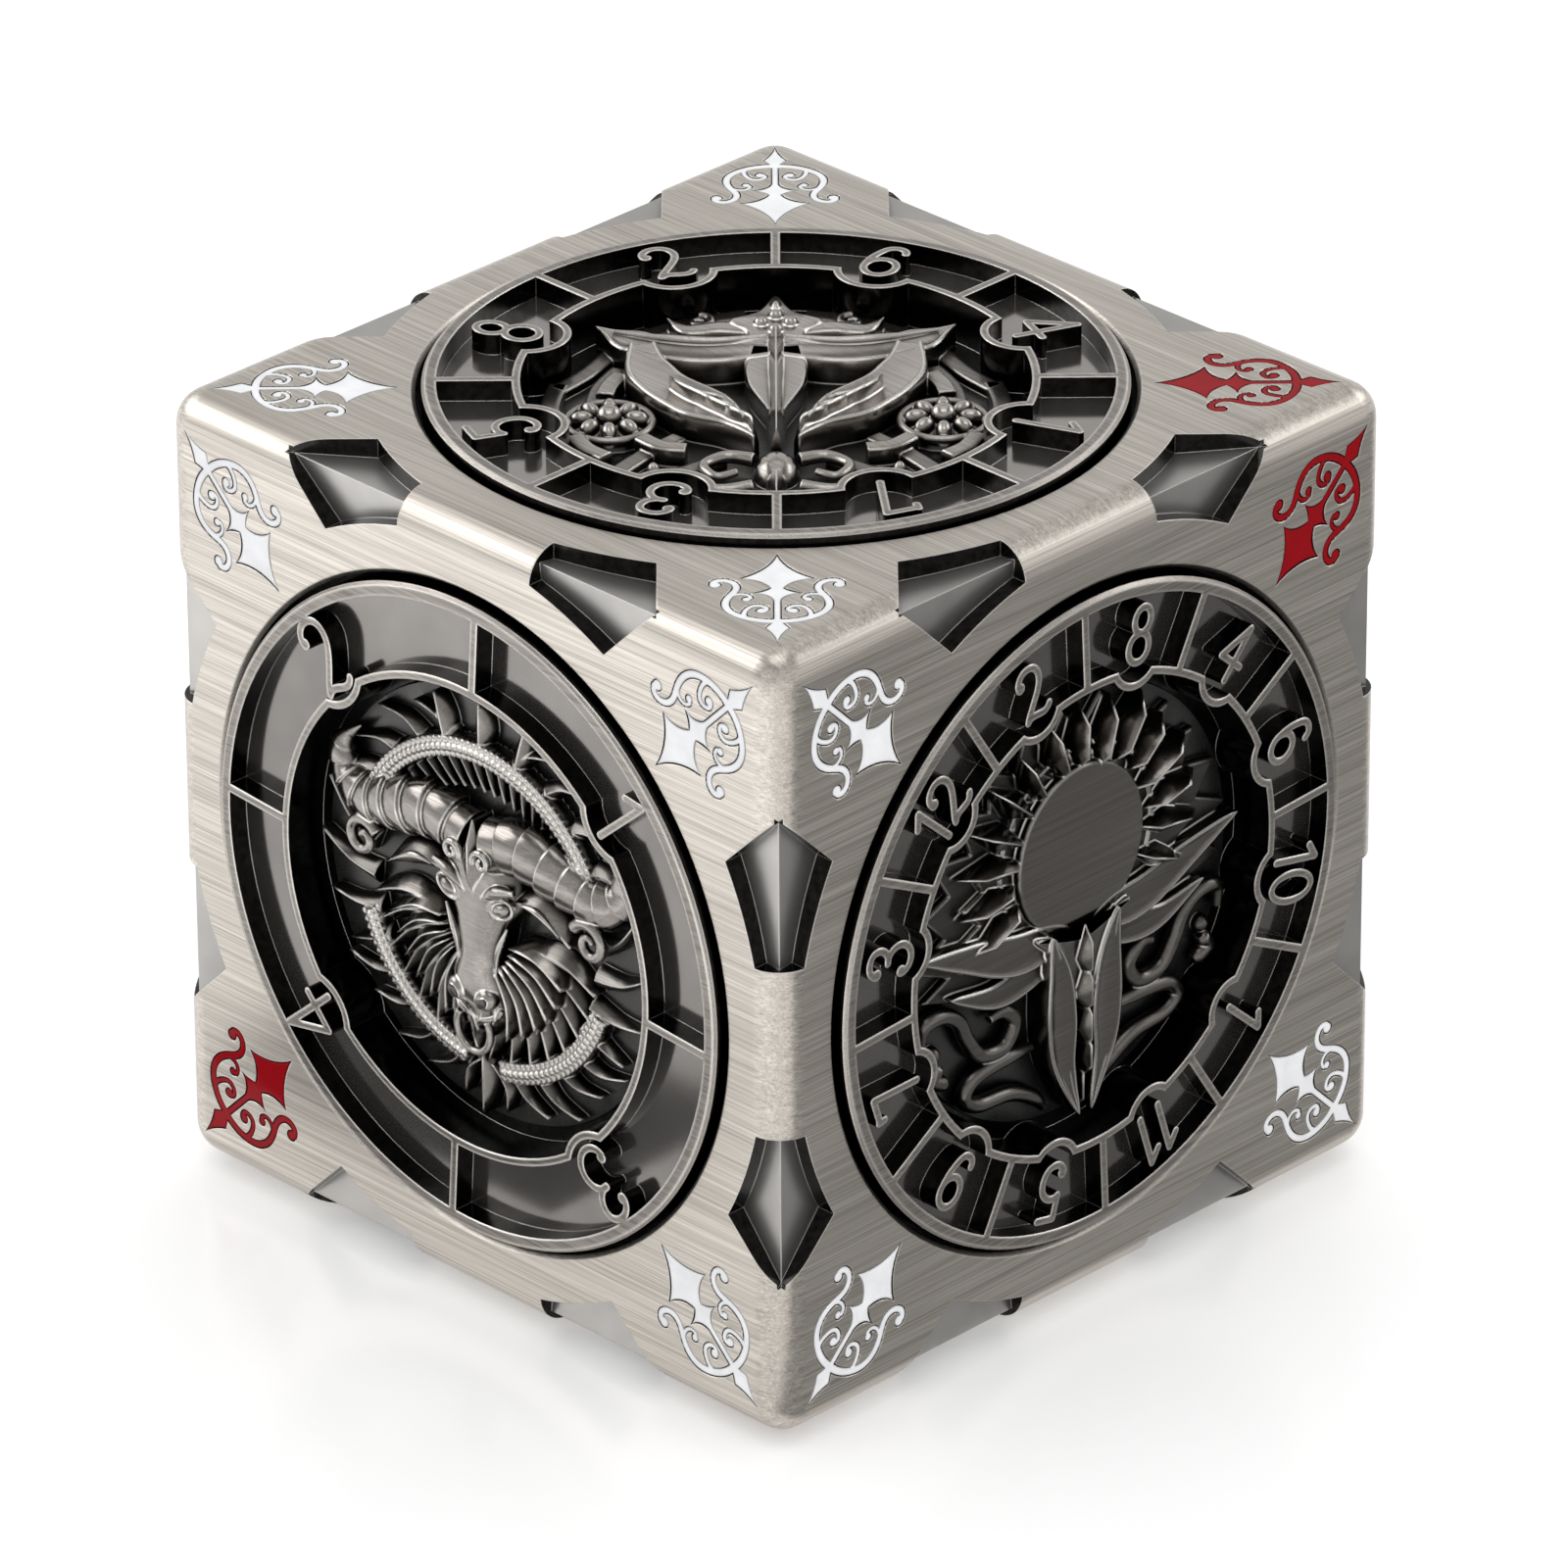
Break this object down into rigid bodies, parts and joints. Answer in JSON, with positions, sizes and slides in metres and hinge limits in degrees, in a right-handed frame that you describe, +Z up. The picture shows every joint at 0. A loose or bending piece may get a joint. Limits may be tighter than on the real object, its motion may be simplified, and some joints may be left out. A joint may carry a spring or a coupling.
{
  "type": "fidget cube",
  "caption": "Metal fidget cube with a free-spinning number dial on a ball bearing in every face, relief medallions, notched edges and enamelled corner scrolls.",
  "frame": {"origin": "centre of the bounding box's bottom: on the resting plane, under the cube's centre", "axes": "+Z up through the eight-number dial; -Y out of the four-number dial; +X out of the twelve-number dial"},
  "size_m": [0.0358, 0.0358, 0.0357],
  "materials": {
    "casing_metal": "brushed antique nickel plate over die-cast zinc",
    "dial_metal": "antique nickel, dark floors with bright relief edges",
    "medallion_metal": "antique nickel relief, dark recesses",
    "plate_metal": "machined",
    "bearing_steel": "ground and polished",
    "shield_steel": "pressed sheet",
    "cage_brass": "stamped",
    "screw_steel": "zinc plated",
    "white_enamel": "gloss enamel fill",
    "red_enamel": "translucent gloss enamel fill"
  },
  "bodies": {
    "casing_body": {"casing": "casing_metal", "enamel_white": "white_enamel", "enamel_red": "red_enamel", "plate_screws": "screw_steel", "axle_screws": "screw_steel", "bearing_plate_top": "plate_metal", "inner_ring_top": "bearing_steel", "bearing_plate_front": "plate_metal", "inner_ring_front": "bearing_steel", "bearing_plate_right": "plate_metal", "inner_ring_right": "bearing_steel", "bearing_plate_back": "plate_metal", "inner_ring_back": "bearing_steel", "bearing_plate_left": "plate_metal", "inner_ring_left": "bearing_steel", "bearing_plate_bottom": "plate_metal", "inner_ring_bottom": "bearing_steel"},
    "spinner_top": {"dial_top": "dial_metal", "medallion_top": "medallion_metal", "outer_ring_top": "bearing_steel", "shields_top": "shield_steel"},
    "ball_set_top": {"balls_top": "bearing_steel", "cage_top": "cage_brass"},
    "spinner_front": {"dial_front": "dial_metal", "medallion_front": "medallion_metal", "outer_ring_front": "bearing_steel", "shields_front": "shield_steel"},
    "ball_set_front": {"balls_front": "bearing_steel", "cage_front": "cage_brass"},
    "spinner_right": {"dial_right": "dial_metal", "medallion_right": "medallion_metal", "outer_ring_right": "bearing_steel", "shields_right": "shield_steel"},
    "ball_set_right": {"balls_right": "bearing_steel", "cage_right": "cage_brass"},
    "spinner_back": {"dial_back": "dial_metal", "medallion_back": "medallion_metal", "outer_ring_back": "bearing_steel", "shields_back": "shield_steel"},
    "ball_set_back": {"balls_back": "bearing_steel", "cage_back": "cage_brass"},
    "spinner_left": {"dial_left": "dial_metal", "medallion_left": "medallion_metal", "outer_ring_left": "bearing_steel", "shields_left": "shield_steel"},
    "ball_set_left": {"balls_left": "bearing_steel", "cage_left": "cage_brass"},
    "spinner_bottom": {"dial_bottom": "dial_metal", "medallion_bottom": "medallion_metal", "outer_ring_bottom": "bearing_steel", "shields_bottom": "shield_steel"},
    "ball_set_bottom": {"balls_bottom": "bearing_steel", "cage_bottom": "cage_brass"}
  },
  "joints": [
    {"name": "dial_spin_top", "type": "hinge", "parent": "casing_body", "child": "spinner_top", "pos_m": [0, 0, 0.01785], "axis": [0, 0, 1], "continuous": true},
    {"name": "ball_roll_top", "type": "hinge", "parent": "casing_body", "child": "ball_set_top", "pos_m": [0, 0, 0.01785], "axis": [0, 0, 1], "continuous": true},
    {"name": "dial_spin_front", "type": "hinge", "parent": "casing_body", "child": "spinner_front", "pos_m": [0, 0, 0.01785], "axis": [0, -1, 0], "continuous": true},
    {"name": "ball_roll_front", "type": "hinge", "parent": "casing_body", "child": "ball_set_front", "pos_m": [0, 0, 0.01785], "axis": [0, -1, 0], "continuous": true},
    {"name": "dial_spin_right", "type": "hinge", "parent": "casing_body", "child": "spinner_right", "pos_m": [0, 0, 0.01785], "axis": [1, 0, 0], "continuous": true},
    {"name": "ball_roll_right", "type": "hinge", "parent": "casing_body", "child": "ball_set_right", "pos_m": [0, 0, 0.01785], "axis": [1, 0, 0], "continuous": true},
    {"name": "dial_spin_back", "type": "hinge", "parent": "casing_body", "child": "spinner_back", "pos_m": [0, 0, 0.01785], "axis": [0, 1, 0], "continuous": true},
    {"name": "ball_roll_back", "type": "hinge", "parent": "casing_body", "child": "ball_set_back", "pos_m": [0, 0, 0.01785], "axis": [0, 1, 0], "continuous": true},
    {"name": "dial_spin_left", "type": "hinge", "parent": "casing_body", "child": "spinner_left", "pos_m": [0, 0, 0.01785], "axis": [-1, 0, 0], "continuous": true},
    {"name": "ball_roll_left", "type": "hinge", "parent": "casing_body", "child": "ball_set_left", "pos_m": [0, 0, 0.01785], "axis": [-1, 0, 0], "continuous": true},
    {"name": "dial_spin_bottom", "type": "hinge", "parent": "casing_body", "child": "spinner_bottom", "pos_m": [0, 0, 0.01785], "axis": [0, 0, -1], "continuous": true},
    {"name": "ball_roll_bottom", "type": "hinge", "parent": "casing_body", "child": "ball_set_bottom", "pos_m": [0, 0, 0.01785], "axis": [0, 0, -1], "continuous": true}
  ],
  "couplings": [
    {"joint": "ball_roll_top", "follows": "dial_spin_top", "ratio": 0.5833},
    {"joint": "ball_roll_front", "follows": "dial_spin_front", "ratio": 0.5833},
    {"joint": "ball_roll_right", "follows": "dial_spin_right", "ratio": 0.5833},
    {"joint": "ball_roll_back", "follows": "dial_spin_back", "ratio": 0.5833},
    {"joint": "ball_roll_left", "follows": "dial_spin_left", "ratio": 0.5833},
    {"joint": "ball_roll_bottom", "follows": "dial_spin_bottom", "ratio": 0.5833}
  ]
}
